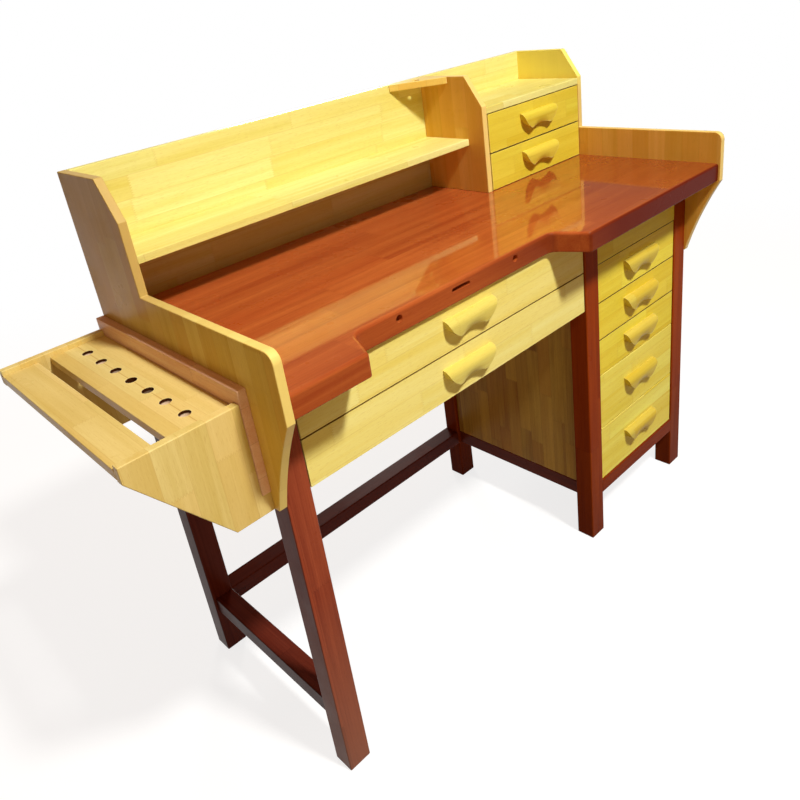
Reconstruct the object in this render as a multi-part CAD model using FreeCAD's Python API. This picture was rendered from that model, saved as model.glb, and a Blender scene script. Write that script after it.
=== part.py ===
import FreeCAD, Part
import math
import os

os.makedirs("parts", exist_ok=True)
V = FreeCAD.Vector

# A jeweller's bench in two lacquered woods, in millimetres.
# X runs from the left side panel's outer face to the right, Y from the side panels' front edges
# to the rear and Z up from the floor. Everything is moved to the frame's origin when it is saved:
# the middle of the whole bench's footprint, on the floor.

# Overall sizes
LENGTH = 1250.0          # over the two side panels
DEPTH = 570.0            # side panels' front edge to the back panel's rear face
HEIGHT = 1097.0          # to the top of the side and back panels
BOARD = 15.0             # yellow boards
EASE = 1.5               # eased edges of boards
FRONT_EASE = 0.6         # the same on drawer fronts
RACK_REACH = 198.0       # how far the tool rack stands out on the left
ORIGIN = V(-(LENGTH - RACK_REACH) / 2, -DEPTH / 2, 0)

# Worktop
TOP_Z = 835.0            # working height
TOP_THICK = 40.0
TOP_FRONT = 5.0          # front edge, behind the side panels' front edges
TOP_ROUND = 6.0          # rounded upper edge
TOP_ROUND_LOW = 2.5      # rounded lower edge
RECESS_CENTRE = 442.0    # the working recess in the front edge
RECESS_MOUTH = 564.0
RECESS_WIDTH = 502.0     # at its back
RECESS_Y = 75.0
RECESS_CORNER = 22.0
MOUTH_ROUND = 8.0        # rounded corners where the recess meets the front edge
PIN_CENTRE = 435.0       # bench-pin slot, with a bolt hole on each side of it
PIN_Z = 820.0
PIN_SLOT_WIDTH = 46.0
PIN_SLOT_HEIGHT = 8.0
PIN_SLOT_DEPTH = 60.0
PIN_SLOT_ROUND = 3.5     # rounded ends of the slot
PIN_BOLT_OFFSET = 149.0
PIN_BOLT_RADIUS = 7.0
PIN_BOLT_DEPTH = 45.0

# Side panels and what stands on the worktop
SIDE_BOTTOM = 616.0
RAIL_TOP = 905.0         # low rail round the worktop's ends
RAIL_CORNER = 17.0
CABINET_FRONT = 371.0
CHAMFER_Y = 417.0        # sloped upper front corner of the tall boards
CHAMFER_Z = 1030.0
ARC_MID = (45.0, 708.0)  # curved lower front edge of a side panel (Y, Z)
ARC_FOOT_Y = 79.0
BACK_FRONT = DEPTH - BOARD
SHELF_FRONT = 418.0
SHELF_Z = 943.0
SHELF_RIGHT = 866.0
DIVIDER_RIGHT = SHELF_RIGHT + BOARD
TRAY_Z = 1012.0
CORNER_PLATE_X = 104.0   # corner plate between the back panel and the divider
CORNER_PLATE_Y = 89.0
CORNER_HOLE_X = 823.5
CORNER_HOLE_Y = 527.0

# Legs, posts and rails
POST_X = 48.0
POST_Y = 44.0
POST_EASE = 2.5
POST_FRONT = 80.0
POST_BACK = BACK_FRONT - POST_Y
UNDER_TOP = TOP_Z - TOP_THICK
LEG_LEFT = BOARD
PEDESTAL_LEFT = 812.5
PEDESTAL_RIGHT = LENGTH - BOARD - POST_X
FOOT_RAIL_Z = 112.0
FOOT_RAIL_HEIGHT = 37.0
FOOT_RAIL_TOP = FOOT_RAIL_Z + FOOT_RAIL_HEIGHT
RAIL_INSET = 8.0         # side rails and panels, behind the posts' outer faces
LEFT_RAIL_INSET = 6.0    # the same for the rail between the left legs
TENON = 15.0             # length of a rail's tenon
TENON_THICK = 12.0
TENON_SHOULDER = 7.0     # above and below the tenon
PANEL = 12.0             # pedestal side and back panels

# Drawers
WIDE_SPLIT = 707.0       # height between the two wide drawers, and the top of the pedestal's
WIDE_BOTTOM = 617.5
PEDESTAL_SPLITS = (WIDE_SPLIT, 616.5, 526.0, 435.5, 292.3, FOOT_RAIL_TOP)
CABINET_SPLITS = (TRAY_Z, 922.0, TOP_Z)
GAP = 2.5                # between a front and what stands round it
FRONT_Y = 83.0
FRONT_THICK = 18.0
DRAWER_DEPTH = 420.0     # front face to the rear of the box
CABINET_DRAWER_DEPTH = 176.0
BOX_SIDE = 12.0
BOX_INSET = 1.5          # box sides, inside the ends of the front
BOX_BOTTOM = 6.0
BOX_GROOVE = 5.0
BOX_RAISE = 5.0          # box sides' lower edges above the front's lower edge
BOX_TOP_DROP = 16.0      # box sides' upper edges below the front's upper edge
BOTTOM_RAISE = 8.0       # box bottom above the sides' lower edges
RUNNER = 12.0
RUNNER_PLAY = 0.5        # box side above its runner
RUNNER_BEARING = 10.0    # runner's reach under a box side

# Drawer pulls
PULL_WIDTH = 131.0
PULL_DROP = 37.0
PULL_REACH = 16.0        # how far the pull stands out where its crown ends
PULL_CROWN = 15.0        # height of the rounded crown
PULL_TOP_REACH = 2.0     # reach of the upper edge
PULL_LOBE_REACH = 14.0   # reach of the two lobes of the lip
PULL_DIP_REACH = 6.0     # reach of the dip between them
PULL_LOBE = 37.0         # from the pull's middle to a lobe
PULL_END = 28.0          # how far the curved ends come in at the bottom
PULL_END_BEND = (2.0, 21.0)
WIDE_PULL_X = (454.0, 440.0)
PEDESTAL_PULL_X = 1028.0
CABINET_PULL_X = 1062.0
WIDE_PULL_LIFTS = (1.5, -0.5)    # pull's centre above the front's centre, from the top down
PEDESTAL_PULL_LIFTS = (2.0, 2.0, 1.0, 0.0, -2.5)
CABINET_PULL_LIFTS = (2.5, 2.5)
FINGER_RADIUS = 9.0      # finger groove in the pull's underside
FINGER_OUT = 5.0
FINGER_BELOW = 1.5

# Tool rack on the left side panel
RACK_FRONT = 90.0        # front face of the front plate
RACK_BOARD_FRONT = 88.0  # front edge of the board behind the plates
RACK_BACK = 566.0
RACK_TOP = 808.0
RACK_BACK_BOARD_TOP = 829.0
RACK_BACK_BOARD_LOW = 650.0
RACK_EDGE_Z = 782.0      # lower end of the plates' outer edge
RACK_FOOT_X = -67.0      # where a plate's slope ends
RACK_BOARD_TOP = 799.0
RACK_HOLES_EDGE = -117.0
RACK_OUTER_EDGE = -138.0
RACK_OUTER_THICK = 16.0
TOOL_HOLES = 7
TOOL_HOLE_PITCH = 58.0
TOOL_HOLE_RADIUS = 9.5   # also the corner plate's hole
TOOL_HOLE_X = -68.0

CLOSE = 0.1              # tolerance when an edge is looked for
PAST = 1.0               # how far a cutting tool starts outside what it cuts


def box(x0, x1, y0, y1, z0, z1):
    """A block between two corners."""
    return Part.makeBox(x1 - x0, y1 - y0, z1 - z0, V(x0, y0, z0))


def eased(solid, radius, wanted=None):
    """The solid with its edges rounded; wanted picks some of them."""
    edges = [e for e in solid.Edges if wanted is None or wanted(e)]
    return solid.makeFillet(radius, edges)


def board(x0, x1, y0, y1, z0, z1, ease=EASE):
    return eased(box(x0, x1, y0, y1, z0, z1), ease)


def post(x0, y0):
    """A square leg from the floor to the worktop's underside."""
    return eased(box(x0, x0 + POST_X, y0, y0 + POST_Y, 0, UNDER_TOP), POST_EASE)


def prism(edges, direction):
    """A closed outline of edges, extruded."""
    return Part.Face(Part.Wire(edges)).extrude(direction)


def lines(points):
    """Straight edges from point to point."""
    return [Part.makeLine(a, b) for a, b in zip(points, points[1:])]


def curve(points):
    """A quadratic Bezier edge through a start, a pull point and an end."""
    bezier = Part.BezierCurve()
    bezier.setPoles(points)
    return bezier.toShape()


def save(name, *solids):
    """Writes one node, moved to the frame's origin."""
    shape = solids[0] if len(solids) == 1 else Part.makeCompound(list(solids))
    moved = shape.copy()
    moved.translate(ORIGIN)
    moved.exportStep("parts/" + name + ".step")
    state = "valid" if moved.isValid() else "NOT VALID"
    print(name, len(moved.Solids), "solids", state, round(moved.Volume / 1000), "cm3")


# --- Worktop ---------------------------------------------------------------------------------

def recess_outline():
    """Front edge of the worktop from left to right, with the recess's rounded inner corners."""
    half_mouth = RECESS_MOUTH / 2
    half_width = RECESS_WIDTH / 2
    mouth = [V(RECESS_CENTRE + s * half_mouth, TOP_FRONT, 0) for s in (-1, 1)]
    inner = [V(RECESS_CENTRE + s * half_width, RECESS_Y, 0) for s in (-1, 1)]
    side = (mouth[0] - inner[0]).normalize()
    turn = math.pi - side.getAngle(V(1, 0, 0))
    reach = RECESS_CORNER * math.tan(turn / 2)
    edges = []
    for s, m, c in zip((1, -1), mouth, inner):
        slope = (m - c).normalize()
        start = c + slope * reach
        end = c + V(s * reach, 0, 0)
        bisector = (slope + V(s, 0, 0)).normalize()
        middle = c + bisector * (RECESS_CORNER / math.cos(turn / 2) - RECESS_CORNER)
        edges.append((m, start, middle, end))
    left, right = edges
    return [
        Part.makeLine(left[0], left[1]),
        Part.Arc(left[1], left[2], left[3]).toShape(),
        Part.makeLine(left[3], right[3]),
        Part.Arc(right[3], right[2], right[1]).toShape(),
        Part.makeLine(right[1], right[0]),
    ]


def worktop():
    low_x = BOARD
    high_x = LENGTH - BOARD
    front = recess_outline()
    first = front[0].Vertexes[0].Point
    last = front[-1].Vertexes[-1].Point
    rim = [last, V(high_x, TOP_FRONT, 0), V(high_x, BACK_FRONT, 0), V(low_x, BACK_FRONT, 0)]
    rim += [V(low_x, TOP_FRONT, 0), first]
    slab = prism(front + lines(rim), V(0, 0, TOP_THICK))
    slab.translate(V(0, 0, UNDER_TOP))

    def slot_length(edge):
        return edge.BoundBox.YLength > PIN_SLOT_DEPTH

    def mouth_corner(edge):
        middle = edge.CenterOfMass
        upright = edge.BoundBox.ZLength > TOP_THICK - CLOSE
        off_centre = abs(middle.x - RECESS_CENTRE) - RECESS_MOUTH / 2
        return upright and abs(middle.y - TOP_FRONT) < CLOSE and abs(off_centre) < CLOSE

    slab = eased(slab, MOUTH_ROUND, mouth_corner)

    def front_edge(z):
        def test(edge):
            middle = edge.CenterOfMass
            bounds = edge.BoundBox
            level = bounds.ZLength < CLOSE and abs(middle.z - z) < CLOSE
            return level and middle.y < RECESS_Y + CLOSE and bounds.YLength < DEPTH / 2
        return test

    slab = eased(slab, TOP_ROUND, front_edge(TOP_Z))
    slab = eased(slab, TOP_ROUND_LOW, front_edge(UNDER_TOP))
    for side in (-1, 1):
        mouth = V(PIN_CENTRE + side * PIN_BOLT_OFFSET, RECESS_Y - PAST, PIN_Z)
        hole = Part.makeCylinder(PIN_BOLT_RADIUS, PIN_BOLT_DEPTH + PAST, mouth, V(0, 1, 0))
        slab = slab.cut(hole)
    half = PIN_SLOT_WIDTH / 2
    slot_low = PIN_Z - PIN_SLOT_HEIGHT / 2
    slot_high = slot_low + PIN_SLOT_HEIGHT
    slot_end = RECESS_Y + PIN_SLOT_DEPTH
    slot = box(PIN_CENTRE - half, PIN_CENTRE + half, RECESS_Y - PAST, slot_end, slot_low, slot_high)
    return slab.cut(eased(slot, PIN_SLOT_ROUND, slot_length))


# --- Boards above and beside the worktop -----------------------------------------------------

def side_panel(x0):
    """Low rail round the end of the worktop that rises to full height at the rear."""
    corner = RAIL_CORNER
    corner_mid = corner * (1 - math.sqrt(0.5))
    rail_end = V(x0, corner, RAIL_TOP)
    nose = V(x0, corner_mid, RAIL_TOP - corner_mid)
    rail_drop = V(x0, 0, RAIL_TOP - corner)
    low_front = V(x0, 0, UNDER_TOP)
    foot = V(x0, ARC_FOOT_Y, SIDE_BOTTOM)
    edges = lines([
        foot,
        V(x0, DEPTH, SIDE_BOTTOM),
        V(x0, DEPTH, HEIGHT),
        V(x0, CHAMFER_Y, HEIGHT),
        V(x0, CABINET_FRONT, CHAMFER_Z),
        V(x0, CABINET_FRONT, RAIL_TOP),
        rail_end,
    ])
    edges.append(Part.Arc(rail_end, nose, rail_drop).toShape())
    edges.append(Part.makeLine(rail_drop, low_front))
    edges.append(Part.Arc(low_front, V(x0, *ARC_MID), foot).toShape())
    return eased(prism(edges, V(BOARD, 0, 0)), EASE)


def corner_plate():
    """Level three-cornered plate with a round hole, flush with the tops of the tall boards."""
    z0 = HEIGHT - BOARD
    corner = V(SHELF_RIGHT, BACK_FRONT, z0)
    outline = [corner, corner - V(CORNER_PLATE_X, 0, 0), corner - V(0, CORNER_PLATE_Y, 0), corner]
    plate = eased(prism(lines(outline), V(0, 0, BOARD)), EASE)
    start = V(CORNER_HOLE_X, CORNER_HOLE_Y, z0 - PAST)
    return plate.cut(Part.makeCylinder(TOOL_HOLE_RADIUS, BOARD + 2 * PAST, start, V(0, 0, 1)))


def divider():
    x0 = SHELF_RIGHT
    outline = [
        V(x0, CABINET_FRONT, TOP_Z),
        V(x0, BACK_FRONT, TOP_Z),
        V(x0, BACK_FRONT, HEIGHT),
        V(x0, CHAMFER_Y, HEIGHT),
        V(x0, CABINET_FRONT, CHAMFER_Z),
        V(x0, CABINET_FRONT, TOP_Z),
    ]
    return eased(prism(lines(outline), V(BOARD, 0, 0)), EASE)


save("worktop", worktop())
save("left_side_panel", side_panel(0))
save("right_side_panel", side_panel(LENGTH - BOARD))
save("back_panel", board(BOARD, LENGTH - BOARD, BACK_FRONT, DEPTH, SIDE_BOTTOM, HEIGHT))
save("shelf", board(BOARD, SHELF_RIGHT, SHELF_FRONT, BACK_FRONT, SHELF_Z, SHELF_Z + BOARD))
save("cabinet_divider", divider())
save("corner_plate", corner_plate())
cabinet_right = LENGTH - BOARD
tray = board(DIVIDER_RIGHT, cabinet_right, CABINET_FRONT, BACK_FRONT, TRAY_Z, TRAY_Z + BOARD)
save("cabinet_tray_floor", tray)


# --- Legs, posts and rails -------------------------------------------------------------------

def tenon(block, along, start, end):
    """The tongue at one end of a rail: thinner than the rail, from start to end along X or Y."""
    b = block.BoundBox
    z0 = b.ZMin + TENON_SHOULDER
    z1 = b.ZMax - TENON_SHOULDER
    low = min(start, end)
    high = max(start, end)
    if along == "x":
        middle = (b.YMin + b.YMax) / 2
        return box(low, high, middle - TENON_THICK / 2, middle + TENON_THICK / 2, z0, z1)
    middle = (b.XMin + b.XMax) / 2
    return box(middle - TENON_THICK / 2, middle + TENON_THICK / 2, low, high, z0, z1)


def rail(x0, x1, y0, y1, along):
    """A bottom rail between two posts, and its two tenons."""
    block = box(x0, x1, y0, y1, FOOT_RAIL_Z, FOOT_RAIL_TOP)
    low, high = (x0, x1) if along == "x" else (y0, y1)
    tongues = [tenon(block, along, low, low - TENON), tenon(block, along, high, high + TENON)]

    def long_edge(edge):
        length = edge.BoundBox.XLength if along == "x" else edge.BoundBox.YLength
        return length > high - low - CLOSE

    shaped = eased(block, POST_EASE, long_edge)
    for tongue in tongues:
        shaped = shaped.fuse(tongue)
    return shaped.removeSplitter(), tongues


ped_in_left = PEDESTAL_LEFT + POST_X
ped_in_right = PEDESTAL_RIGHT
post_in_front = POST_FRONT + POST_Y
leg_inner = LEG_LEFT + POST_X
panel_left = PEDESTAL_LEFT + RAIL_INSET
panel_right = PEDESTAL_RIGHT + POST_X - RAIL_INSET

rails = {
    "pedestal_front_rail": rail(ped_in_left, ped_in_right, POST_FRONT, post_in_front, "x"),
    "pedestal_rear_rail": rail(ped_in_left, ped_in_right, POST_BACK, BACK_FRONT, "x"),
    "pedestal_left_rail": rail(panel_left, ped_in_left, post_in_front, POST_BACK, "y"),
    "pedestal_right_rail": rail(ped_in_right, panel_right, post_in_front, POST_BACK, "y"),
    "back_stretcher": rail(leg_inner, PEDESTAL_LEFT, POST_BACK, BACK_FRONT, "x"),
    "left_foot_rail": rail(LEG_LEFT + LEFT_RAIL_INSET, leg_inner, post_in_front, POST_BACK, "y"),
}
posts = {
    "front_left_leg": post(LEG_LEFT, POST_FRONT),
    "rear_left_leg": post(LEG_LEFT, POST_BACK),
    "pedestal_front_left_post": post(PEDESTAL_LEFT, POST_FRONT),
    "pedestal_rear_left_post": post(PEDESTAL_LEFT, POST_BACK),
    "pedestal_front_right_post": post(PEDESTAL_RIGHT, POST_FRONT),
    "pedestal_rear_right_post": post(PEDESTAL_RIGHT, POST_BACK),
}
for name, (shape, tongues) in rails.items():
    save(name, shape)
for name, shape in posts.items():
    for _, tongues in rails.values():
        for tongue in tongues:
            if shape.BoundBox.intersect(tongue.BoundBox):
                shape = shape.cut(tongue)
    save(name, shape)

side_panels = {"pedestal_left_panel": panel_left, "pedestal_right_panel": panel_right - PANEL}
for name, x0 in side_panels.items():
    save(name, board(x0, x0 + PANEL, post_in_front, POST_BACK, FOOT_RAIL_TOP, UNDER_TOP))
back_span = (ped_in_left, ped_in_right, BACK_FRONT - PANEL, BACK_FRONT)
save("pedestal_back_panel", board(*back_span, FOOT_RAIL_TOP, UNDER_TOP))


# --- Drawers ---------------------------------------------------------------------------------

def pull_reaches(depth):
    """How far a pull stands out at a depth below its upper edge, at its lobes and at its dip."""
    if depth < PULL_CROWN:
        rise = math.sqrt(1 - (1 - depth / PULL_CROWN) ** 2)
        reach = PULL_TOP_REACH + (PULL_REACH - PULL_TOP_REACH) * rise
        return reach, reach
    share = ((depth - PULL_CROWN) / (PULL_DROP - PULL_CROWN)) ** 2
    lobe = PULL_REACH + (PULL_LOBE_REACH - PULL_REACH) * share
    dip = PULL_REACH + (PULL_DIP_REACH - PULL_REACH) * share
    return lobe, dip


def pull_rim(centre_x, face_y, z, lobe_reach, dip_reach):
    """Plan outline of a pull at one height: flat at the back, and in front a wave with a dip."""
    half = PULL_WIDTH / 2
    steps = 8
    points = []
    for i in range(steps + 1):
        x = PULL_LOBE * (2 * i / steps - 1)
        swell = (1 - math.cos(math.pi * x / PULL_LOBE)) / 2
        points.append(V(centre_x + x, face_y - dip_reach - (lobe_reach - dip_reach) * swell, z))
    wave = Part.BSplineCurve()
    wave.interpolate(Points=points, InitialTangent=V(1, 0, 0), FinalTangent=V(1, 0, 0))
    right = [points[-1], V(centre_x + half, face_y - lobe_reach, z), V(centre_x + half, face_y, z)]
    left = [V(centre_x - half, face_y, z), V(centre_x - half, face_y - lobe_reach, z), points[0]]
    return Part.Wire([wave.toShape()] + lines(right + left))


def pull(centre_x, centre_z, face_y):
    """A carved pull: a rounded crown, a wavy lip below, curved ends and a finger groove."""
    half = PULL_WIDTH / 2
    top = centre_z + PULL_DROP / 2
    low = centre_z - PULL_DROP / 2
    crown = [PULL_CROWN * (1 - math.cos(math.radians(turn))) for turn in range(0, 91, 15)]
    skirt = [PULL_CROWN + (PULL_DROP - PULL_CROWN) * share / 4 for share in range(1, 5)]
    rims = [pull_rim(centre_x, face_y, top - depth, *pull_reaches(depth)) for depth in crown + skirt]
    body = Part.makeLoft(rims, True, False)

    # the ends curve inwards towards the bottom, seen from the front
    behind = face_y + PAST
    bend_x, bend_z = PULL_END_BEND
    tips = [V(centre_x + s * half, behind, top) for s in (-1, 1)]
    feet = [V(centre_x + s * (half - PULL_END), behind, low) for s in (-1, 1)]
    bends = [V(centre_x + s * (half - bend_x), behind, top - bend_z) for s in (-1, 1)]
    left = curve([tips[0], bends[0], feet[0]])
    right = curve([feet[1], bends[1], tips[1]])
    face = [left, Part.makeLine(feet[0], feet[1]), right, Part.makeLine(tips[1], tips[0])]
    body = body.common(prism(face, V(0, -PULL_REACH - 2 * PAST, 0)))

    groove = V(centre_x - half, face_y - FINGER_OUT, low - FINGER_BELOW)
    body = body.cut(Part.makeCylinder(FINGER_RADIUS, PULL_WIDTH, groove, V(1, 0, 0)))
    return body.Solids[0]


def drawer(name, across, z0, z1, front_y, depth, pull_x, pull_lift):
    """Front, box and pull of one drawer, in the opening across from z0 to z1."""
    x0 = across[0] + GAP
    x1 = across[1] - GAP
    z0 += GAP / 2
    z1 -= GAP / 2
    rear = front_y + depth
    box_front = front_y + FRONT_THICK
    side_left = x0 + BOX_INSET
    side_right = x1 - BOX_INSET
    box_low = z0 + BOX_RAISE
    box_high = z1 - BOX_TOP_DROP
    floor_low = box_low + BOTTOM_RAISE
    floor_high = floor_low + BOX_BOTTOM
    inner_left = side_left + BOX_SIDE
    inner_right = side_right - BOX_SIDE
    bottom_left = inner_left - BOX_GROOVE
    bottom_right = inner_right + BOX_GROOVE
    bottom_front = box_front - BOX_GROOVE
    bottom = box(bottom_left, bottom_right, bottom_front, rear, floor_low, floor_high)
    left = box(side_left, inner_left, box_front, rear, box_low, box_high).cut(bottom)
    right = box(inner_right, side_right, box_front, rear, box_low, box_high).cut(bottom)
    back = box(inner_left, inner_right, rear - BOX_SIDE, rear, floor_high, box_high)
    front = board(x0, x1, front_y, box_front, z0, z1, FRONT_EASE)
    save(name + "_front", front.cut(bottom))
    save(name + "_box", left, right, back, bottom)
    save(name + "_pull", pull(pull_x, (z0 + z1) / 2 + pull_lift, front_y))


wide_across = (leg_inner, PEDESTAL_LEFT)
pedestal_across = (ped_in_left, ped_in_right)
cabinet_across = (DIVIDER_RIGHT, cabinet_right)
wide_splits = (UNDER_TOP, WIDE_SPLIT, WIDE_BOTTOM)
levels = ("upper", "lower")

for i, level in enumerate(levels):
    heights = (wide_splits[i + 1], wide_splits[i])
    pull_place = (WIDE_PULL_X[i], WIDE_PULL_LIFTS[i])
    drawer("wide_drawer_" + level, wide_across, *heights, FRONT_Y, DRAWER_DEPTH, *pull_place)
for i, lift in enumerate(PEDESTAL_PULL_LIFTS):
    name = "pedestal_drawer_%d" % (i + 1)
    heights = (PEDESTAL_SPLITS[i + 1], PEDESTAL_SPLITS[i])
    drawer(name, pedestal_across, *heights, FRONT_Y, DRAWER_DEPTH, PEDESTAL_PULL_X, lift)
for i, level in enumerate(levels):
    name = "cabinet_drawer_" + level
    heights = (CABINET_SPLITS[i + 1], CABINET_SPLITS[i])
    from_front = (CABINET_FRONT, CABINET_DRAWER_DEPTH)
    drawer(name, cabinet_across, *heights, *from_front, CABINET_PULL_X, CABINET_PULL_LIFTS[i])

fascia_box = (*pedestal_across, FRONT_Y, FRONT_Y + FRONT_THICK, WIDE_SPLIT, UNDER_TOP)
save("pedestal_fascia", board(*fascia_box, FRONT_EASE))


# --- Drawer runners --------------------------------------------------------------------------

def runner_pair(outer, across, split, along, floor=0.0):
    """Two strips for a drawer's box sides to slide on, from the outer faces into the opening.

    split is the lower end of the drawer's opening, along the strips' two ends in Y, and floor
    the lowest that they may reach.
    """
    top = split + GAP / 2 + BOX_RAISE - RUNNER_PLAY
    low = max(top - RUNNER, floor)
    reach = GAP + BOX_INSET + RUNNER_BEARING
    left = box(outer[0], across[0] + reach, *along, low, top)
    right = box(across[1] - reach, outer[1], *along, low, top)
    return [left, right]


between_posts = (post_in_front, POST_BACK)
wide_runners = []
for split in wide_splits[1:]:
    wide_runners += runner_pair((LEG_LEFT, panel_left), wide_across, split, between_posts)
save("wide_drawer_runners", *wide_runners)

pedestal_runners = []
for split in PEDESTAL_SPLITS[1:]:
    on_rail = split == FOOT_RAIL_TOP
    outer = pedestal_across if on_rail else (panel_left + PANEL, panel_right - PANEL)
    pedestal_runners += runner_pair(outer, pedestal_across, split, between_posts)
save("pedestal_drawer_runners", *pedestal_runners)

behind_front = (CABINET_FRONT + FRONT_THICK + GAP, BACK_FRONT)
cabinet_runners = []
for split in CABINET_SPLITS[1:]:
    cabinet_runners += runner_pair(cabinet_across, cabinet_across, split, behind_front, TOP_Z)
save("cabinet_drawer_runners", *cabinet_runners)


# --- Tool rack -------------------------------------------------------------------------------

def rack_plate(y0):
    """End plate of the rack, with its sloping outer edge, notched round the board behind it."""
    outline = [
        V(-BOARD, y0, RACK_TOP),
        V(-RACK_REACH, y0, RACK_TOP),
        V(-RACK_REACH, y0, RACK_EDGE_Z),
        V(RACK_FOOT_X, y0, SIDE_BOTTOM),
        V(0, y0, SIDE_BOTTOM),
        V(0, y0, RACK_BACK_BOARD_LOW),
        V(-BOARD, y0, RACK_BACK_BOARD_LOW),
        V(-BOARD, y0, RACK_TOP),
    ]
    return eased(prism(lines(outline), V(0, BOARD, 0)), EASE)


rack_rear = RACK_BACK - BOARD
rack_inside = RACK_FRONT + BOARD
rack_heights = (RACK_BACK_BOARD_LOW, RACK_BACK_BOARD_TOP)
save("rack_back_board", board(-BOARD, 0, RACK_BOARD_FRONT, DEPTH, *rack_heights))
save("rack_front_plate", rack_plate(RACK_FRONT))
save("rack_rear_plate", rack_plate(rack_rear))
between_plates = (rack_inside, rack_rear)
holes_low = RACK_BOARD_TOP - BOARD
holes_board = board(RACK_HOLES_EDGE, -BOARD, *between_plates, holes_low, RACK_BOARD_TOP)
rack_middle = (rack_inside + rack_rear) / 2
for i in range(TOOL_HOLES):
    y = rack_middle + (i - (TOOL_HOLES - 1) / 2) * TOOL_HOLE_PITCH
    start = V(TOOL_HOLE_X, y, holes_low - PAST)
    hole = Part.makeCylinder(TOOL_HOLE_RADIUS, BOARD + 2 * PAST, start, V(0, 0, 1))
    holes_board = holes_board.cut(hole)
save("rack_holes_board", holes_board)
outer_low = RACK_BOARD_TOP - RACK_OUTER_THICK
outer_board = board(-RACK_REACH, RACK_OUTER_EDGE, *between_plates, outer_low, RACK_BOARD_TOP)
save("rack_outer_board", outer_board)
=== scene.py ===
import bpy
import math
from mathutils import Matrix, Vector


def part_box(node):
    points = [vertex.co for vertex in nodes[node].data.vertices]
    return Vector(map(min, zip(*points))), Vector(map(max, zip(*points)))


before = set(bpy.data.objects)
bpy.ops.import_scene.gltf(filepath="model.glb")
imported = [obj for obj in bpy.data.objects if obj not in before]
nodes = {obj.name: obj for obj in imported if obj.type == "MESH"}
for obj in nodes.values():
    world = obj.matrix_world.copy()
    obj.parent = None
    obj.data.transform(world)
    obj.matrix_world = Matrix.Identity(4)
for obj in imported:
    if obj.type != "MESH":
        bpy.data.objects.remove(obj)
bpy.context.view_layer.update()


# --- Camera -------------------------------------------------------------------------------------

SENSOR = 36.0                                   # mm
LENS = 33.54
CAMERA_PLACE = (-0.9505, -1.0398, 1.3086)
CAMERA_TURN = (65.168, 7.929, -43.173)          # degrees about X, Y and Z
CAMERA_SHIFT = (0.0149, -0.0914)
CAMERA_CLIP = (0.05, 60.0)


def add_camera():
    data = bpy.data.cameras.new("camera")
    data.sensor_width = SENSOR
    data.lens = LENS
    data.shift_x, data.shift_y = CAMERA_SHIFT
    data.clip_start, data.clip_end = CAMERA_CLIP
    camera = bpy.data.objects.new("camera", data)
    camera.location = CAMERA_PLACE
    camera.rotation_euler = [math.radians(angle) for angle in CAMERA_TURN]
    bpy.context.collection.objects.link(camera)
    bpy.context.scene.camera = camera


add_camera()


# --- Node helpers -------------------------------------------------------------------------------

WHITE = (1.0, 1.0, 1.0, 1.0)
AXES = "XYZ"


def srgb(red, green, blue):
    """Linear colour, with alpha, from sRGB numbers between 0 and 255."""
    linear = []
    for value in (red, green, blue):
        part = value / 255
        linear.append(((part + 0.055) / 1.055) ** 2.4 if part > 0.04045 else part / 12.92)
    return (*linear, 1.0)


class Tree:
    """Adds nodes to one node tree and joins them."""

    def __init__(self, tree):
        self.tree = tree

    def add(self, kind, inputs=None, **settings):
        node = self.tree.nodes.new(kind)
        for key, value in settings.items():
            setattr(node, key, value)
        for key, value in (inputs or {}).items():
            if isinstance(value, bpy.types.NodeSocket):
                self.tree.links.new(value, node.inputs[key])
            else:
                node.inputs[key].default_value = value
        return node

    def math(self, operation, *values):
        node = self.add("ShaderNodeMath", dict(enumerate(values)), operation=operation)
        return node.outputs[0]

    def remap(self, value, low, high, new_low=0.0, new_high=1.0):
        node = self.add("ShaderNodeMapRange", {0: value, 1: low, 2: high, 3: new_low, 4: new_high})
        return node.outputs[0]

    def smooth(self, value, low, high):
        inputs = {0: value, 1: low, 2: high, 3: 0.0, 4: 1.0}
        return self.add("ShaderNodeMapRange", inputs, interpolation_type="SMOOTHSTEP").outputs[0]

    def invert(self, value):
        return self.math("SUBTRACT", 1.0, value)

    def mix(self, factor, a, b):
        return self.add("ShaderNodeMix", {0: factor, 6: a, 7: b}, data_type="RGBA").outputs[2]

    def combine(self, x, y, z):
        return self.add("ShaderNodeCombineXYZ", {0: x, 1: y, 2: z}).outputs[0]

    def noise(self, place, scale=1.0, detail=2.0, roughness=0.5, distortion=0.0):
        inputs = {
            "Vector": place,
            "Scale": scale,
            "Detail": detail,
            "Roughness": roughness,
            "Distortion": distortion,
        }
        return self.add("ShaderNodeTexNoise", inputs).outputs[0]

    def split(self, vector):
        return self.add("ShaderNodeSeparateXYZ", {0: vector}).outputs

    def stretch(self, place, factors, offset):
        scaled = self.add("ShaderNodeVectorMath", {0: place, 1: factors}, operation="MULTIPLY")
        moved = self.add("ShaderNodeVectorMath", {0: scaled.outputs[0], 1: offset}, operation="ADD")
        return moved.outputs[0]


# --- Wood ---------------------------------------------------------------------------------------

FINGER_PITCH = 0.0045                 # finger joints between the blocks of a stave
FINGER_LENGTH = 0.005
GLUE_LINE = 0.0008
END_LINE = 0.6                        # a block's end line is that much nearer, so it shows wider
ROW_SHIFT = 7.0                       # how far the blocks of a stave may start from its neighbour's
GRAIN_SHIFT = 40.0                    # how far apart the grain of two blocks is taken from
FIGURE_SCALE = (2.2, 42.0, 42.0)      # along and across the grain
FIBRE_SCALE = (7.0, 330.0, 330.0)
PORE_SCALE = (70.0, 1900.0, 1900.0)
PORE_RANGE = (0.62, 0.72)


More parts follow.
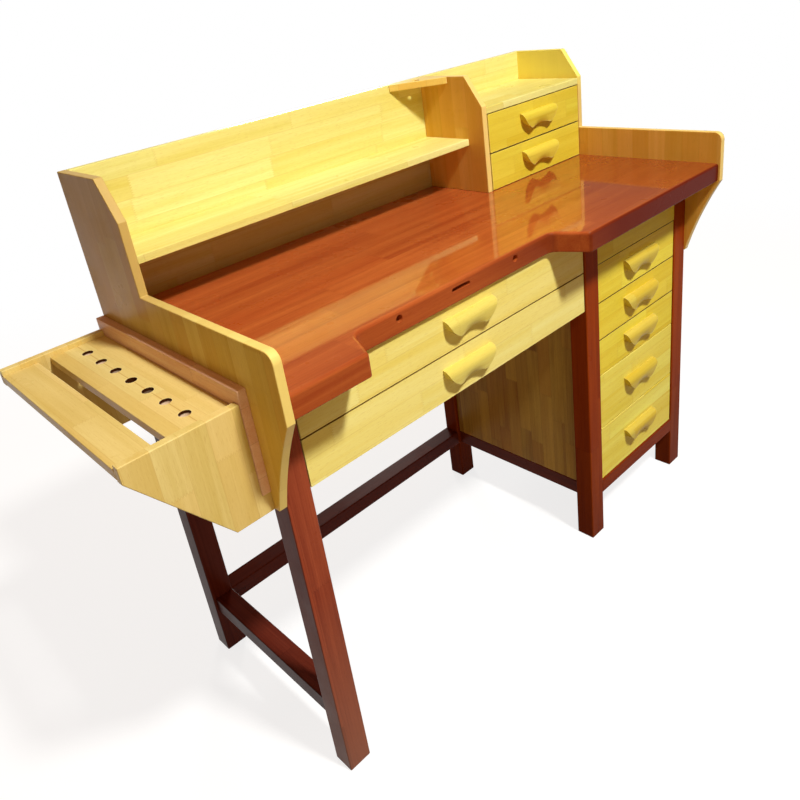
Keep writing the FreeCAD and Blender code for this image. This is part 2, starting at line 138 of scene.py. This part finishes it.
def make_wood_group():
    """Edge-glued boards of finger-jointed blocks.

    Place is in metres, with the grain along X and the staves side by side along Y. The outputs
    run from 0 to 1: each block's own tone and hue, broad figure, fine fibre, pores, and the
    lines where blocks and staves meet.
    """
    group = bpy.data.node_groups.new("jointed_wood", "ShaderNodeTree")
    face = group.interface
    face.new_socket("Place", in_out="INPUT", socket_type="NodeSocketVector")
    for name in ("Seed", "Stave", "Block"):
        face.new_socket(name, in_out="INPUT", socket_type="NodeSocketFloat")
    names = ("Tone", "Hue", "Figure", "Fibre", "Pores", "Joint")
    for name in names:
        face.new_socket(name, in_out="OUTPUT", socket_type="NodeSocketFloat")
    t = Tree(group)
    given = t.add("NodeGroupInput").outputs
    place = given["Place"]
    split = t.split(place)

    # which stave, and which block of it
    across = t.math("ADD", t.math("DIVIDE", split[1], given["Stave"]), given["Seed"])
    row = t.math("FLOOR", across)
    in_row = t.math("FRACT", across)
    row_place = t.combine(row, given["Seed"], 0.0)
    row_random = t.add("ShaderNodeTexWhiteNoise", {"Vector": row_place}, noise_dimensions="2D")
    zigzag = t.math("PINGPONG", split[1], FINGER_PITCH / 2)
    fingers = t.math("MULTIPLY", zigzag, 2 * FINGER_LENGTH / FINGER_PITCH)
    along = t.math("DIVIDE", t.math("ADD", split[0], fingers), given["Block"])
    along = t.math("ADD", along, t.math("MULTIPLY", row_random.outputs[0], ROW_SHIFT))
    block = t.math("FLOOR", along)
    in_block = t.math("FRACT", along)
    block_place = t.combine(row, block, given["Seed"])
    random = t.add("ShaderNodeTexWhiteNoise", {"Vector": block_place}, noise_dimensions="3D")
    channels = t.add("ShaderNodeSeparateColor", {0: random.outputs[1]}).outputs

    # grain, different in each block
    inputs = {0: random.outputs[1], "Scale": GRAIN_SHIFT}
    offset = t.add("ShaderNodeVectorMath", inputs, operation="SCALE").outputs[0]
    figure = t.noise(t.stretch(place, FIGURE_SCALE, offset), detail=3.0, distortion=0.5)
    fibre = t.noise(t.stretch(place, FIBRE_SCALE, offset), detail=3.0, roughness=0.6)
    pores = t.noise(t.stretch(place, PORE_SCALE, offset), detail=1.0)

    # thin lines between staves and blocks
    to_side = t.math("MULTIPLY", t.math("PINGPONG", in_row, 0.5), given["Stave"])
    to_end = t.math("MULTIPLY", t.math("PINGPONG", in_block, 0.5), given["Block"])
    nearest = t.math("MINIMUM", to_side, t.math("MULTIPLY", to_end, END_LINE))
    joint = t.invert(t.smooth(nearest, 0.0, GLUE_LINE))

    out = t.add("NodeGroupOutput").inputs
    pores = t.smooth(pores, *PORE_RANGE)
    for name, value in zip(names, (channels[0], channels[1], figure, fibre, pores, joint)):
        group.links.new(value, out[name])
    return group


wood_group = make_wood_group()

# Each look: colours from dark to light, how strongly blocks, figure, fibre and joints show, sizes
# of staves and blocks in metres, and the lacquer's roughness and gloss. Some looks also have the
# colour of a zone, which SHARES lists.
YELLOW = {
    "pore": srgb(186, 136, 46),
    "edge": srgb(248, 236, 154),
    "tone": 0.46, "figure": 0.5, "fibre": 0.22, "hue": 0.36, "joint": 0.25,
    "stave": 0.042, "block": 0.31,
    "rough": 0.32, "specular": 0.1, "coat": 0.0, "coat_rough": 0.1,
}
LOOKS = {
    "yellow": {
        **YELLOW,
        "dark": srgb(218, 206, 96), "light": srgb(245, 243, 168), "warm": srgb(237, 212, 106),
    },
    # side: its dark, light and warm colours are painted shade, oranger than yellow's, for faces
    # that look along X; end gives the other faces a paler colour
    "side": {
        **YELLOW,
        "dark": srgb(216, 176, 60), "light": srgb(244, 213, 110), "warm": srgb(232, 176, 70),
        "end": srgb(243, 225, 142), "tone": 0.66, "hue": 0.5,
    },
    "bright": {
        **YELLOW,
        "dark": srgb(238, 217, 106), "light": srgb(252, 245, 164), "warm": srgb(247, 222, 114),
        "lip": srgb(132, 100, 34),
    },
    "gold": {
        **YELLOW,
        "dark": srgb(228, 198, 36), "light": srgb(249, 236, 88), "warm": srgb(240, 201, 50),
        "lip": srgb(104, 72, 16), "specular": 0.06,
    },
    "honey": {
        **YELLOW,
        "dark": srgb(212, 186, 38), "light": srgb(237, 224, 82), "warm": srgb(226, 194, 54),
        "lip": srgb(104, 72, 16),
    },
    "pale": {
        **YELLOW,
        "dark": srgb(208, 180, 92), "light": srgb(236, 216, 144), "warm": srgb(226, 186, 108),
        "edge": srgb(250, 236, 184),
    },
    # panel: a darker, browner copy of the yellow wood, painted shade on the pedestal's panels under
    # the bench
    "panel": {
        "dark": srgb(146, 100, 38),
        "light": srgb(216, 184, 88),
        "warm": srgb(184, 122, 50),
        "pore": srgb(112, 70, 26),
        "edge": srgb(222, 196, 108),
        "tone": 0.55, "figure": 0.5, "fibre": 0.3, "hue": 0.5, "joint": 0.3,
        "stave": 0.034, "block": 0.26,
        "rough": 0.34, "specular": 0.1, "coat": 0.0, "coat_rough": 0.1,
    },
    "worktop": {
        "dark": srgb(156, 62, 28),
        "light": srgb(208, 114, 54),
        "warm": srgb(184, 78, 34),
        "pore": srgb(110, 34, 14),
        "edge": srgb(158, 62, 28),
        "deep": srgb(112, 38, 16),
        "stain": srgb(96, 26, 10),
        "tone": 0.25, "figure": 0.5, "fibre": 0.3, "hue": 0.3, "joint": 0.2,
        "stave": 0.06, "block": 0.62,
        "rough": 0.3, "specular": 0.04, "coat": 1.0, "coat_rough": 0.05,
    },
    "red": {
        "dark": srgb(114, 40, 22),
        "light": srgb(170, 78, 46),
        "warm": srgb(146, 50, 27),
        "pore": srgb(62, 20, 10),
        "edge": srgb(180, 90, 56),
        # flank: painted shade on faces that look along X
        "flank_shade": srgb(40, 18, 14),
        "tone": 0.3, "figure": 0.55, "fibre": 0.4, "hue": 0.3, "joint": 0.3,
        "stave": 0.07, "block": 0.5,
        "rough": 0.32, "specular": 0.06, "coat": 0.0, "coat_rough": 0.1,
    },
    "ember": {
        "dark": srgb(118, 42, 11),
        "light": srgb(174, 78, 20),
        "warm": srgb(150, 52, 10),
        "pore": srgb(62, 20, 6),
        "edge": srgb(182, 92, 40),
        # foot: painted shade, darker towards the floor
        "foot": srgb(84, 26, 14),
        "tone": 0.3, "figure": 0.55, "fibre": 0.4, "hue": 0.3, "joint": 0.3,
        "stave": 0.07, "block": 0.5,
        "rough": 0.32, "specular": 0.02, "coat": 0.0, "coat_rough": 0.1,
    },
    "brown": {
        "dark": srgb(232, 174, 134),
        "light": srgb(252, 218, 184),
        "warm": srgb(244, 184, 144),
        "pore": srgb(150, 88, 50),
        "edge": srgb(246, 200, 156),
        "tone": 0.3, "figure": 0.5, "fibre": 0.4, "hue": 0.3, "joint": 0.3,
        "stave": 0.06, "block": 0.5,
        "rough": 0.34, "specular": 0.1, "coat": 0.0, "coat_rough": 0.1,
    },
    "inner": {
        "dark": srgb(206, 168, 112),
        "light": srgb(232, 204, 152),
        "warm": srgb(214, 172, 118),
        "pore": srgb(150, 110, 68),
        "edge": srgb(234, 208, 160),
        "tone": 0.4, "figure": 0.4, "fibre": 0.3, "hue": 0.3, "joint": 0.3,
        "stave": 0.06, "block": 0.4,
        "rough": 0.5, "specular": 0.2, "coat": 0.0, "coat_rough": 0.3,
    },
}
SHADES = {                            # looks made from others: their red, green and blue shares
    "bright_pull": ("bright", (0.8, 0.78, 0.58)),
    "gold_pull": ("gold", (0.76, 0.75, 1.4)),
    "honey_pull": ("honey", (0.95, 0.94, 1.25)),
    # straw: a paler copy of gold without gap shade, painted light on the two lowest pedestal
    # drawers
    "straw_light": ("gold", (1.03, 1.12, 2.2)),
    # amber: a darker, oranger copy of side, painted shade on the right side panel and the divider
    "amber": ("side", (0.94, 0.78, 0.8)),
    # dusk: a darker copy of red, painted shade on the rear left leg, the back stretcher and the
    # left foot rail
    "red_shade": ("red", (0.42, 0.42, 0.6)),
    # rose: a lighter, pinker copy of red, a painted sheen on the front left leg
    "red_sheen": ("red", (1.02, 1.2, 1.35)),
    # tawny: a lighter copy of side, painted light on the left side panel's outer face
    "tawny_light_and_shade": ("side", (1.1, 1.16, 1.25)),
}
for new_look, (old_look, parts) in SHADES.items():
    LOOKS[new_look] = dict(LOOKS[old_look])
    # looks made from others drop the painted gap shade
    LOOKS[new_look].pop("lip", None)
    for key in ("dark", "light", "warm"):
        shaded = [value * part for value, part in zip(LOOKS[old_look][key], parts)]
        LOOKS[new_look][key] = (*shaded, 1.0)
# back: its low colour is painted shade on the back panel below the shelf
LOOKS["back"] = {**LOOKS["yellow"], "low": srgb(112, 52, 22), "behind": srgb(252, 214, 116)}
# head: painted light on the top of the right side panel
LOOKS["amber_head"] = {**LOOKS["amber"], "head_light": srgb(252, 246, 120)}
# rear: painted shade, darker towards the rear of the left side panel
LOOKS["tawny_light_and_shade"]["rear"] = srgb(130, 66, 30)
# foot: a painted reflection of the floor near the front left leg's foot
LOOKS["red_sheen"]["foot"] = srgb(146, 105, 86)

SHARES = {                            # how far a zone's colour replaces the wood's
    "end": 0.6,                       # faces that don't look along X, paler than the painted shade of faces along X
    "flank_shade": 0.6,                     # faces that look along X: painted shade
    "foot": 0.6,                      # near the floor: painted shade on the posts and rails, a painted reflection on the front left leg
    "head_light": 0.68,                     # painted light at the bench's top
    "behind": 0.55,                   # faces that look to the rear
    "rear": 0.45,                     # painted shade near the bench's rear
    "low": 0.35,                      # painted shade on faces that look forward below the shelf
    "lip": 0.85,                      # painted shade in the gaps: faces that look up, the top edges of the drawer fronts
    "deep": 0.65,                     # the worktop's right end
    "stain": 1.0,                     # the worktop's front edge
}
FOOT_TOP = 0.42                       # ends of the zones, in metres
HEAD_RANGE = (0.985, 1.05)
REAR_RANGE = (-0.24, 0.1)
DEEP_RANGE = (0.2, 0.7)
STAIN_RANGE = (-0.1, 0.3)             # where the stain deepens from left to right
STAIN_DEPTHS = (0.3, 0.95)

# Between which parts of its normal along an axis a face counts as looking that way.
TURN = (0.15, 0.8)
SIDE_TURN = (0.3, 0.8)
LIP_TURN = (0.3, 0.6)
COAT_TURN = (0.6, 1.0)
WALL_TURN = (0.2, 0.6)

NOISE = (0.3, 0.7)                    # where nearly all of a noise's values lie
PORE_SHARE = 0.35
EDGE_WIDTH = 0.0025                   # rubbed edges
EDGE_TURN = (0.01, 0.14)
EDGE_WEAR = (0.25, 0.8)
SMUDGE_SCALE = 9.0                    # uneven gloss of the lacquer
SMUDGE_SPREAD = (0.8, 1.25)
PORE_ROUGH = 0.1
PEEL_SCALE = 260.0                    # bump of the lacquer, and how far the grain shows through it
PEEL_RISE = 0.25
PORE_RISE = -0.35
FIBRE_RISE = 0.3
JOINT_RISE = -0.4
BUMP = {"Strength": 0.12, "Distance": 0.0004}
WOOD_IOR = 1.45
COAT_IOR = 1.75
HOLE_RIM = srgb(62, 30, 10)           # painted shade on the wall of a drilled hole, and painted light below its rim
HOLE_LIT = srgb(250, 222, 190)
HOLE_RIM_DEPTH = (0.004, 0.0065)
HOLE_FULL_SHADE = (0.03, 0.1)               # holes this near the board's middle get painted shade all through
HOLE_BORDER = 0.01                    # the board's own edges, where no hole is
SEAM_SHARE = 0.48                     # the glue line through the rack's holes, across their board
SEAM_WIDTH = 0.0011
SEAM_STRENGTH = 0.5


def hole_walls(t, colour, parts, upward, low, high):
    """The walls of a level board's holes, between the lowest and highest corners of its box, with
    painted shade at the rim and painted light below it.
    """
    wall = t.invert(t.smooth(t.math("ABSOLUTE", upward), *WALL_TURN))
    for axis in (0, 1):
        middle = (low[axis] + high[axis]) / 2
        off = t.math("ABSOLUTE", t.math("SUBTRACT", parts[axis], middle))
        inside = t.math("LESS_THAN", off, high[axis] - middle - HOLE_BORDER)
        wall = t.math("MULTIPLY", wall, inside)
    # painted light below the rim, but painted shade all through near the board's middle
    below = t.smooth(t.math("SUBTRACT", high[2], parts[2]), *HOLE_RIM_DEPTH)
    lit_below_rim = t.math("MULTIPLY", below, t.smooth(off, *HOLE_FULL_SHADE))
    return t.mix(wall, colour, t.mix(lit_below_rim, HOLE_RIM, HOLE_LIT))


def zone_masks(t, parts, looks_to):
    """For each zone in SHARES, in the order in which they are laid on, what makes its mask."""
    forward = t.smooth(t.math("MULTIPLY", looks_to[1], -1.0), *TURN)
    sideways = t.smooth(t.math("ABSOLUTE", looks_to[0]), *SIDE_TURN)
    stained = t.remap(parts[0], *STAIN_RANGE, *STAIN_DEPTHS)
    below_shelf = t.math("LESS_THAN", parts[2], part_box("shelf")[0][2])
    return {
        "end": lambda: t.invert(sideways),
        "flank_shade": lambda: sideways,
        "foot": lambda: t.remap(parts[2], 0.0, FOOT_TOP, 1.0, 0.0),
        "head_light": lambda: t.smooth(parts[2], *HEAD_RANGE),
        "behind": lambda: t.smooth(looks_to[1], *TURN),
        "rear": lambda: t.remap(parts[1], *REAR_RANGE),
        "low": lambda: t.math("MULTIPLY", below_shelf, forward),
        "lip": lambda: t.smooth(looks_to[2], *LIP_TURN),
        "deep": lambda: t.remap(parts[0], *DEEP_RANGE),
        "stain": lambda: t.math("MULTIPLY", forward, stained),
    }


def wood(name, look, along, across, seed, holed=None):
    """Lacquered wood with its grain along one axis and its staves side by side along another.

    holed gives the box's corners of a level board with drilled holes along its one glue line
    that shows.
    """
    say = LOOKS[look]
    material = bpy.data.materials.new(name)
    material.use_nodes = True
    material.node_tree.nodes.clear()
    t = Tree(material.node_tree)
    place = t.add("ShaderNodeTexCoord").outputs["Object"]
    parts = t.split(place)
    third = (set(AXES) - {along, across}).pop()
    turned = t.combine(*[parts[AXES.index(axis)] for axis in (along, across, third)])
    inputs = {"Place": turned, "Seed": seed, "Stave": say["stave"], "Block": say["block"]}
    out = t.add("ShaderNodeGroup", inputs, node_tree=wood_group).outputs

    # lightness from the block's tone, the figure and the fibre
    figure = t.remap(out["Figure"], *NOISE, -0.5, 0.5)
    fibre = t.remap(out["Fibre"], *NOISE, -0.5, 0.5)
    tone = t.math("SUBTRACT", out["Tone"], 0.5)
    level = t.math("MULTIPLY_ADD", tone, say["tone"], 0.5)
    level = t.math("MULTIPLY_ADD", figure, say["figure"], level)
    level = t.math("MULTIPLY_ADD", fibre, say["fibre"], level)
    level = t.math("MINIMUM", t.math("MAXIMUM", level, 0.0), 1.0)
    colour = t.mix(level, say["dark"], say["light"])
    colour = t.mix(t.math("MULTIPLY", out["Hue"], say["hue"]), colour, say["warm"])
    colour = t.mix(t.math("MULTIPLY", out["Pores"], PORE_SHARE), colour, say["pore"])
    colour = t.mix(t.math("MULTIPLY", out["Joint"], say["joint"]), colour, say["pore"])
    if holed:
        low, high = holed
        seam = low[0] + SEAM_SHARE * (high[0] - low[0])
        off = t.math("ABSOLUTE", t.math("SUBTRACT", parts[0], seam))
        line = t.invert(t.smooth(off, SEAM_WIDTH / 2, SEAM_WIDTH))
        colour = t.mix(t.math("MULTIPLY", line, SEAM_STRENGTH), colour, say["pore"])

    # rubbed edges
    bevel = t.add("ShaderNodeBevel", {"Radius": EDGE_WIDTH}, samples=4).outputs[0]
    normal = t.add("ShaderNodeNewGeometry").outputs["Normal"]
    same = t.add("ShaderNodeVectorMath", {0: bevel, 1: normal}, operation="DOT_PRODUCT")
    edge = t.smooth(t.invert(same.outputs["Value"]), *EDGE_TURN)
    worn = t.math("MULTIPLY", edge, t.remap(out["Figure"], *NOISE, *EDGE_WEAR))
    colour = t.mix(worn, colour, say["edge"])

    # hole walls, and zones of faces, ends and places; most zones are painted light or shade
    looks_to = t.split(normal)
    if holed:
        colour = hole_walls(t, colour, parts, looks_to[2], low, high)
    for zone, mask in zone_masks(t, parts, looks_to).items():
        if zone in say:
            colour = t.mix(t.math("MULTIPLY", mask(), SHARES[zone]), colour, say[zone])

    # lacquer
    smudge = t.noise(place, scale=SMUDGE_SCALE, detail=4.0, roughness=0.6)
    rough = t.remap(smudge, *NOISE, *[say["rough"] * spread for spread in SMUDGE_SPREAD])
    rough = t.math("MULTIPLY_ADD", out["Pores"], PORE_ROUGH, rough)
    height = t.math("MULTIPLY", out["Fibre"], FIBRE_RISE)
    height = t.math("MULTIPLY_ADD", out["Pores"], PORE_RISE, height)
    height = t.math("MULTIPLY_ADD", out["Joint"], JOINT_RISE, height)
    peel = t.noise(place, scale=PEEL_SCALE, detail=1.0)
    height = t.math("MULTIPLY_ADD", peel, PEEL_RISE, height)
    bump = t.add("ShaderNodeBump", {**BUMP, "Height": height})
    coat = say["coat"]
    if coat:
        coat = t.math("MULTIPLY", t.smooth(looks_to[2], *COAT_TURN), coat)
    shader = t.add("ShaderNodeBsdfPrincipled", {
        "Base Color": colour,
        "Roughness": rough,
        "IOR": WOOD_IOR,
        "Specular IOR Level": say["specular"],
        "Coat Weight": coat,
        "Coat Roughness": say["coat_rough"],
        "Coat IOR": COAT_IOR,
        "Normal": bump.outputs[0],
    })
    t.add("ShaderNodeOutputMaterial", {0: shader.outputs[0]})
    return material


finished = []
FIRST_SEED = 3.7
SEED_STEP = 1.31


def finish_node(name, look, along, across):
    """Gives a CAD node its own board of wood, with a seed of its own."""
    seed = FIRST_SEED + SEED_STEP * len(finished)
    look = OTHER_LOOKS.get(name, look)
    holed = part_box(name) if name == "rack_holes_board" else None
    material = wood(look + "_" + name, look, along, across, seed, holed)
    piece = nodes[name]
    if not piece.material_slots:
        piece.data.materials.append(material)
    for slot in piece.material_slots:
        slot.material = material
    finished.append(name)


# Boards by look and by the axes of their grain and of their row of staves.
BOARDS = {
    ("yellow", "X", "Z"): ("back_panel",),
    ("gold", "X", "Z"): ("pedestal_fascia",),
    ("yellow", "X", "Y"): ("shelf", "cabinet_tray_floor"),
    ("side", "X", "Y"): ("corner_plate",),
    ("side", "Z", "Y"): ("left_side_panel", "right_side_panel", "cabinet_divider"),
    ("pale", "Z", "X"): ("rack_front_plate", "rack_rear_plate"),
    ("panel", "Z", "Y"): ("pedestal_left_panel", "pedestal_right_panel"),
    ("panel", "Z", "X"): ("pedestal_back_panel",),
    ("pale", "Y", "X"): ("rack_holes_board", "rack_outer_board"),
    ("worktop", "X", "Y"): ("worktop",),
    ("brown", "Y", "Z"): ("rack_back_board",),
    ("red", "Y", "Z"): ("pedestal_left_rail", "pedestal_right_rail", "left_foot_rail"),
    ("red", "X", "Z"): ("back_stretcher",),
    ("red", "Z", "X"): ("front_left_leg", "rear_left_leg"),
    ("ember", "X", "Z"): ("pedestal_front_rail", "pedestal_rear_rail"),
    ("ember", "Z", "X"): ("pedestal_front_left_post", "pedestal_rear_left_post",
                          "pedestal_front_right_post", "pedestal_rear_right_post"),
    ("inner", "Y", "Z"): ("wide_drawer_runners", "pedestal_drawer_runners",
                          "cabinet_drawer_runners"),
}
OTHER_LOOKS = {                       # boards whose look differs from the rest of their row, most of them by painted light or shade
    "back_panel": "back",
    "left_side_panel": "tawny_light_and_shade",
    "right_side_panel": "amber_head",
    "cabinet_divider": "amber",
    "front_left_leg": "red_sheen",
    "rear_left_leg": "red_shade",
    "back_stretcher": "red_shade",
    "left_foot_rail": "red_shade",
    "pedestal_drawer_4_front": "straw_light",
    "pedestal_drawer_5_front": "straw_light",
}
DRAWER_LOOKS = {"wide": "bright", "pedestal": "gold", "cabinet": "honey"}
for (look, along, across), names in BOARDS.items():
    for name in names:
        finish_node(name, look, along, across)
drawers = [name[:-len("_front")] for name in nodes if name.endswith("_front")]
for name in sorted(drawers):
    look = DRAWER_LOOKS[name.split("_")[0]]
    finish_node(name + "_front", look, "X", "Z")
    finish_node(name + "_pull", look + "_pull", "X", "Z")
    finish_node(name + "_box", "inner", "Y", "Z")
left_over = sorted(set(nodes) - set(finished))
if left_over:
    raise RuntimeError("no wood for " + ", ".join(left_over))


# --- Floor, lamps and world ---------------------------------------------------------------------

FLOOR_RADIUS = 14.0
FLOOR_STEP = 10                          # degrees between the corners of the floor's rim
FLOOR_CLEAR = (1.6, 3.2)                 # where its shading starts to fade into white, and ends
FLOOR_MATT = (0.26, 0.26, 0.265, 1.0)    # what the camera sees of it, with the shadow
FLOOR_LIFT = 0.8
FLOOR_BOUNCE = (0.19, 0.13, 0.08, 1.0)   # what it throws back at the bench
FILL = (0.28, 0.147, 0.072, 1.0)         # light from overhead
FILL_LOW = (0.06, 0.036, 0.02, 1.0)      # light from the horizon
FILL_RANGE = (0.0, 0.8)
CEILING = (0.115, 0.09, 0.065, 1.0)      # what gloss shows above the white horizon
CEILING_RANGE = (0.03, 0.3)
LAMPS = {                                # place, aim, size, power and colour
    "key": ((0.07, -2.17, 3.79), (0.0, 0.0, 0.7), 0.4, 158.0, (1.0, 1.0, 0.95)),
    "rear": ((2.4, 3.6, 1.7), (0.2, 0.0, 0.6), 1.2, 70.0, (1.0, 0.97, 0.92)),
    "low": ((-0.35, -1.9, 0.22), (-0.2, -0.2, 0.65), 0.8, 3.2, (1.0, 0.8, 0.45)),
    "left": ((-1.7, -1.3, 1.0), (-0.5, -0.2, 0.8), 1.0, 3.6, (1.0, 0.85, 0.6)),
}


def seen(t):
    """1 for rays from the camera, and 1 for rays from glossy or clear surfaces."""
    path = t.add("ShaderNodeLightPath").outputs
    in_gloss = t.math("MAXIMUM", path["Is Glossy Ray"], path["Is Transmission Ray"])
    return path["Is Camera Ray"], in_gloss


def add_floor():
    mesh = bpy.data.meshes.new("floor")
    rim = [(FLOOR_RADIUS * math.cos(angle), FLOOR_RADIUS * math.sin(angle), 0.0)
           for angle in (math.radians(step) for step in range(0, 360, FLOOR_STEP))]
    mesh.from_pydata(rim, [], [tuple(range(len(rim)))])
    floor = bpy.data.objects.new("floor", mesh)
    bpy.context.collection.objects.link(floor)
    material = bpy.data.materials.new("floor")
    material.use_nodes = True
    material.node_tree.nodes.clear()
    t = Tree(material.node_tree)
    matt = t.add("ShaderNodeBsdfDiffuse", {"Color": FLOOR_MATT}).outputs[0]
    bounce = t.add("ShaderNodeBsdfDiffuse", {"Color": FLOOR_BOUNCE}).outputs[0]
    lift = t.add("ShaderNodeEmission", {"Color": WHITE, "Strength": FLOOR_LIFT}).outputs[0]
    white = t.add("ShaderNodeEmission", {"Color": WHITE, "Strength": 1.0}).outputs[0]
    near = t.add("ShaderNodeAddShader", {0: matt, 1: lift}).outputs[0]
    place = t.add("ShaderNodeTexCoord").outputs["Object"]
    away = t.add("ShaderNodeVectorMath", {0: place}, operation="LENGTH").outputs["Value"]
    fade = t.smooth(away, *FLOOR_CLEAR)
    shown = t.add("ShaderNodeMixShader", {0: fade, 1: near, 2: white}).outputs[0]
    is_seen = t.math("MAXIMUM", *seen(t))
    both = t.add("ShaderNodeMixShader", {0: is_seen, 1: bounce, 2: shown}).outputs[0]
    t.add("ShaderNodeOutputMaterial", {0: both})
    mesh.materials.append(material)


def add_world():
    world = bpy.data.worlds.new("studio")
    world.use_nodes = True
    world.node_tree.nodes.clear()
    t = Tree(world.node_tree)
    height = t.split(t.add("ShaderNodeTexCoord").outputs["Generated"])[2]
    in_camera, in_gloss = seen(t)
    room = t.mix(t.smooth(height, *CEILING_RANGE), WHITE, CEILING)
    fill = t.mix(t.smooth(height, *FILL_RANGE), FILL_LOW, FILL)
    colour = t.mix(in_camera, t.mix(in_gloss, fill, room), WHITE)
    light = t.add("ShaderNodeBackground", {"Color": colour, "Strength": 1.0})
    t.add("ShaderNodeOutputWorld", {0: light.outputs[0]})
    bpy.context.scene.world = world


def add_lamp(name, place, aim, size, power, colour):
    data = bpy.data.lights.new(name, "AREA")
    data.shape = "DISK"
    data.size = size
    data.energy = power
    data.color = colour
    lamp = bpy.data.objects.new(name, data)
    lamp.location = place
    lamp.rotation_mode = "QUATERNION"
    lamp.rotation_quaternion = (Vector(aim) - Vector(place)).to_track_quat("-Z", "Y")
    bpy.context.collection.objects.link(lamp)


add_floor()
add_world()
for name, lamp in LAMPS.items():
    add_lamp(name, *lamp)
bpy.context.scene.view_settings.view_transform = "Standard"
